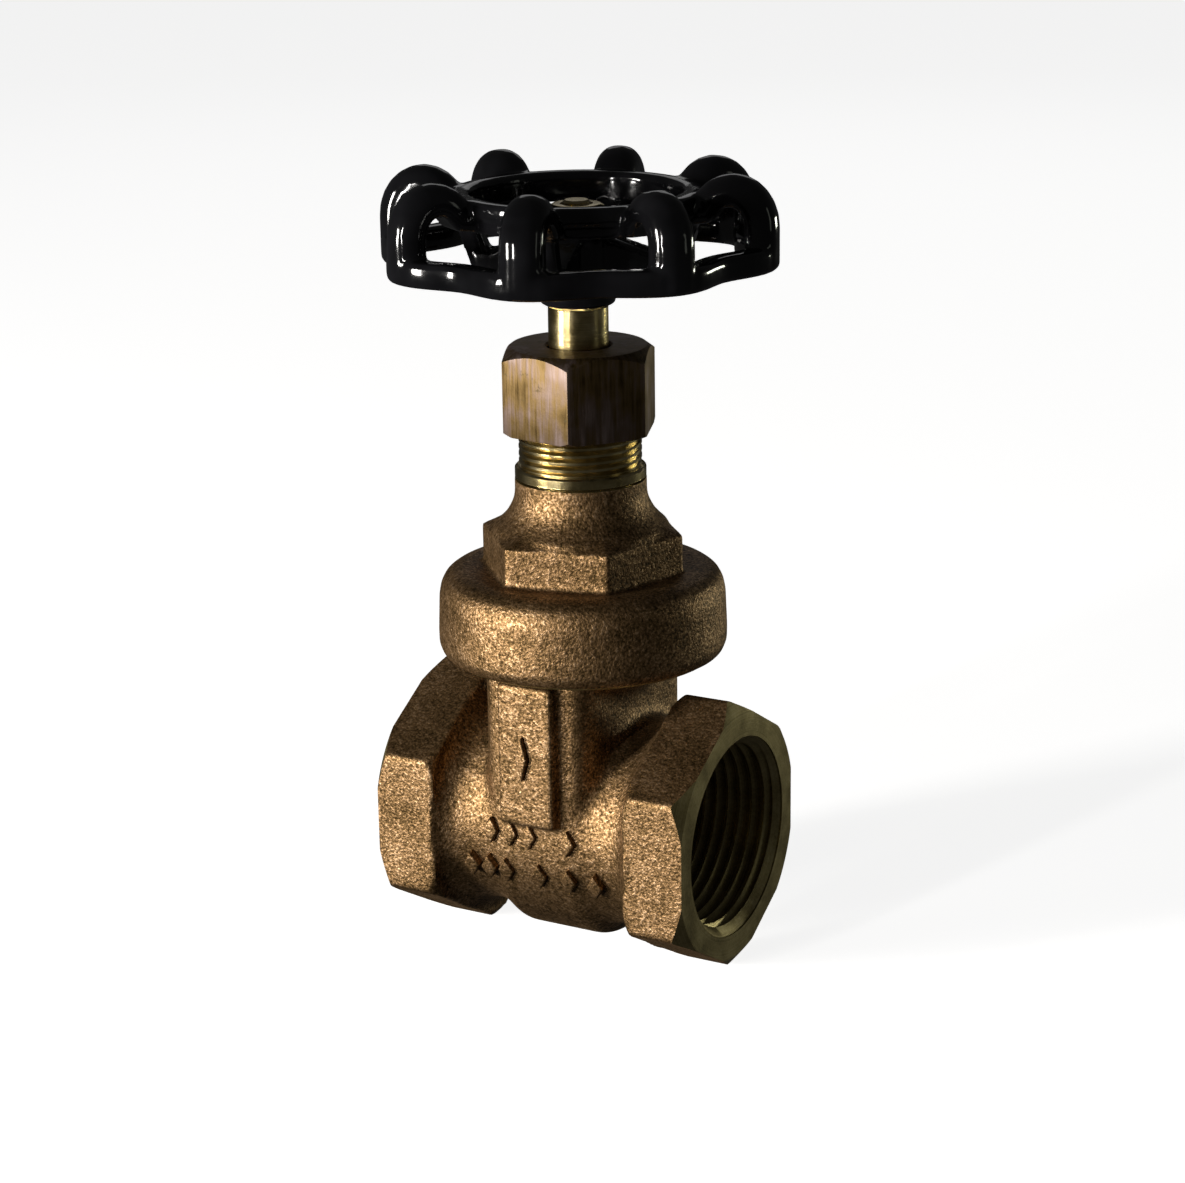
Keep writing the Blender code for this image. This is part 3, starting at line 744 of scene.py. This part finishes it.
LOBES, LOBE_TURN = 8, 13.3
ARCH_R, ARCH_Z, ARCH_ACROSS, ARCH_RISE = 25.9, 101.4, 5.0, 5.85
LOBE_WIDE, LOBE_DEEP = 7.2, 5.0
RING_OUTER, RING_INNER, RING_LOW, RING_TOP = 20.7, 17.2, 101.6, 106.6
RING_STEP, RING_SHOULDER = 20.0, 104.1
RIM_LOW, RIM_TOP, RIM_WALL = 94.2, 98.4, 4.2
RIM_R, RIM_WAVE = 31.6, 1.5

outline = [(RING_INNER, RING_LOW), (RING_STEP, RING_LOW), (RING_STEP, RING_SHOULDER),
           (RING_OUTER, RING_SHOULDER), (RING_OUTER, RING_TOP - 0.5), (RING_OUTER - 0.5, RING_TOP),
           (RING_INNER + 0.6, RING_TOP), (RING_INNER, RING_TOP - 0.6), (RING_INNER, RING_LOW)]
wheel = turned("handwheel_casting", outline)
wave = []
for k in range(129):
    angle = math.tau * k / 128
    radius = RIM_R - RIM_WALL / 2 + RIM_WAVE * math.cos(LOBES * (angle - math.radians(LOBE_TURN - 90)))
    wave.append((radius * math.cos(angle), radius * math.sin(angle)))
wave[-1] = wave[0]
rim = swept("rim", wave, RIM_TOP - RIM_LOW, RIM_WALL, (1.0, 1.0))
take(rim)
rim.location = (0, 0, (RIM_LOW + RIM_TOP) / 2 * MM)
bpy.ops.object.transform_apply(location=True)
combine(wheel, rim, "UNION")
arch = [(20.0, 104.3)]
for angle in range(150, -1, -15):
    a = math.radians(angle)
    arch.append((ARCH_R + ARCH_ACROSS * math.cos(a), ARCH_Z + ARCH_RISE * math.sin(a)))
arch.append((ARCH_R + ARCH_ACROSS, 95.0))
for k in range(LOBES):
    lobe = swept("lobe", arch, LOBE_WIDE, LOBE_DEEP, (3.2, 0.9))
    take(lobe)
    lobe.rotation_euler = (math.pi / 2, 0, math.radians(LOBE_TURN - 90 + k * 360 / LOBES))
    bpy.ops.object.transform_apply(rotation=True)
    combine(wheel, lobe, "UNION")
for k in range(4):
    arm = block("arm", (4.5, -2.2, 91.0), (17.0, 2.2, 99.6))
    for near_top, change in ((False, 0.9), (True, -4.0)):
        pick(arm, lambda point: point.x > 10 and (point.z > 95) == near_top)
        bpy.ops.transform.translate(value=(0, 0, change * MM))
        bpy.ops.object.mode_set(mode="OBJECT")
    leg = block("leg", (13.6, -2.1, 92.1), (17.0, 2.1, 102.4))
    pick(leg, lambda point: point.z > 95)
    bpy.ops.transform.translate(value=(3.8 * MM, 0, 0))
    bpy.ops.object.mode_set(mode="OBJECT")
    combine(arm, leg, "UNION")
    take(arm)
    arm.rotation_euler = (0, 0, math.radians(LOBE_TURN - 90 + k * 90))
    bpy.ops.object.transform_apply(rotation=True)
    combine(wheel, arm, "UNION")
outline = [(5.9, HUB_LOW), (6.2, HUB_LOW + 0.4), (6.2, HUB_TOP - 0.5), (5.8, HUB_TOP)]
combine(wheel, turned("hub", outline, 64), "UNION")
cast_skin(wheel, 0.42, 6)
combine(wheel, block("square_hole", (-3.8, -3.8, HUB_LOW - 1), (3.8, 3.8, HUB_TOP + 1)))
made_of(wheel, black_enamel("black_enamel"))
smoothed(wheel, 40)
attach(wheel, "stem_and_wheel")
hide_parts("handwheel")


# ---- Wheel washer and nut ---------------------------------------------------------------------
# A zinc-plated washer and a small brass hexagon nut on the stem's end clamp the handwheel down on
# the stem's square.


def zinc_plate(name):
    paint = Paint(name, 0.35, 1.0)
    spangle = paint.noise(0.8, 3.0, 0.6)
    paint.set("Base Color", paint.ramp(spangle, (0.35, (0.42, 0.43, 0.43)), (0.65, (0.66, 0.67, 0.68))))
    paint.set("Roughness", 0.28 + spangle * 0.2)
    return paint.material


END_HOLE = 2.7
outline = [(END_HOLE, 100.9), (4.85, 100.9), (5.0, 101.05), (5.0, 101.45), (4.85, 101.6), (END_HOLE, 101.6),
           (END_HOLE, 100.9)]
washer = turned("wheel_washer_ring", outline, 64)
washer.data.materials.append(zinc_plate("zinc_plate"))
smoothed(washer, 35)
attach(washer, "stem_and_wheel")
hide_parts("wheel_washer")

small_nut = bar("wheel_nut_hexagon", 6, 8 / math.sqrt(3), 101.9, 104.2, 59.4)
outline = [(4.3, 101.9), (4.7, 102.2), (4.7, 103.7), (3.9, 104.2)]
combine(small_nut, turned("cone", outline, 64), "INTERSECT")
rounded(small_nut, 0.12, 2, 20)
combine(small_nut, bar("hole", 48, END_HOLE, 101, 105))
made_of(small_nut, brass)
smoothed(small_nut, 25)
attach(small_nut, "stem_and_wheel")
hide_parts("wheel_nut")

# ---- Floor, light and camera ------------------------------------------------------------------
# A pale floor just under the body, soft lamps from the front left and behind, and a white studio.
bpy.ops.object.select_all(action="DESELECT")
bpy.ops.mesh.primitive_plane_add(size=8, location=(0, 0, cad_low.z - 0.0002))
floor = named("floor")
floor_paint = Paint("floor", 0.7, 0.0, Emission_Color=(1.0, 1.0, 1.0), Emission_Strength=0.85)
floor_paint.set("Base Color", (0.8, 0.8, 0.8))
floor.data.materials.append(floor_paint.material)
floor.visible_diffuse = False
floor.visible_glossy = False


def softbox(name, azimuth, elevation, distance, size, power, colour=(1, 1, 1)):
    """A square lamp aimed at the valve; azimuth 0 is in front, 90 towards +X, in degrees."""
    turn, rise = math.radians(azimuth), math.radians(elevation)
    aim = Vector((0, 0, 0.045))
    place = aim + distance * Vector((math.sin(turn) * math.cos(rise), -math.cos(turn) * math.cos(rise),
                                     math.sin(rise)))
    lamp = bpy.data.lights.new(name, "AREA")
    lamp.shape = "RECTANGLE"
    lamp.size, lamp.size_y = size
    lamp.energy = power
    lamp.color = colour
    made = bpy.data.objects.new(name, lamp)
    bpy.context.scene.collection.objects.link(made)
    made.location = place
    made.rotation_mode = "QUATERNION"
    made.rotation_quaternion = (aim - place).to_track_quat("-Z", "Y")
    return made


softbox("key_strip", -12, 6, 0.9, (0.04, 0.3), 4.0, (1.0, 0.97, 0.94))
softbox("key", -38, 4, 0.9, (0.13, 0.28), 11.2, (1.0, 0.97, 0.92))
softbox("right", 100, 8, 1.1, (0.15, 0.5), 0.15, (0.95, 1.0, 0.85))
softbox("rear_right", 151, -1, 1.1, (0.3, 0.1), 2.0, (0.97, 1.0, 0.82))
softbox("back", 205, 22, 1.1, (0.5, 0.3), 0.2)

studio = bpy.data.worlds.new("studio")
bpy.context.scene.world = studio
studio.use_nodes = True
tree = studio.node_tree
background = tree.nodes["Background"]
background.inputs["Color"].default_value = (1.0, 1.0, 1.0, 1.0)
path = tree.nodes.new("ShaderNodeLightPath")
strength = tree.nodes.new("ShaderNodeMapRange")
strength.inputs["To Min"].default_value = 0.03
strength.inputs["To Max"].default_value = 1.0
tree.links.new(path.outputs["Is Camera Ray"], strength.inputs["Value"])
tree.links.new(strength.outputs["Result"], background.inputs["Strength"])

lens = bpy.data.cameras.new("camera")
lens.sensor_width = 36.0
lens.lens = 90.2
camera = bpy.data.objects.new("camera", lens)
bpy.context.scene.collection.objects.link(camera)
camera.location = (0.23494, -0.41406, 0.183)
look, top = Vector((-0.4694, 0.834, -0.29)).normalized(), Vector((-0.1291, 0.2601, 0.9569))
right = look.cross(top).normalized()
camera.rotation_mode = "QUATERNION"
camera.rotation_quaternion = Matrix((right, right.cross(look), -look)).transposed().to_quaternion()
bpy.context.scene.camera = camera
bpy.context.scene.view_settings.view_transform = "Standard"
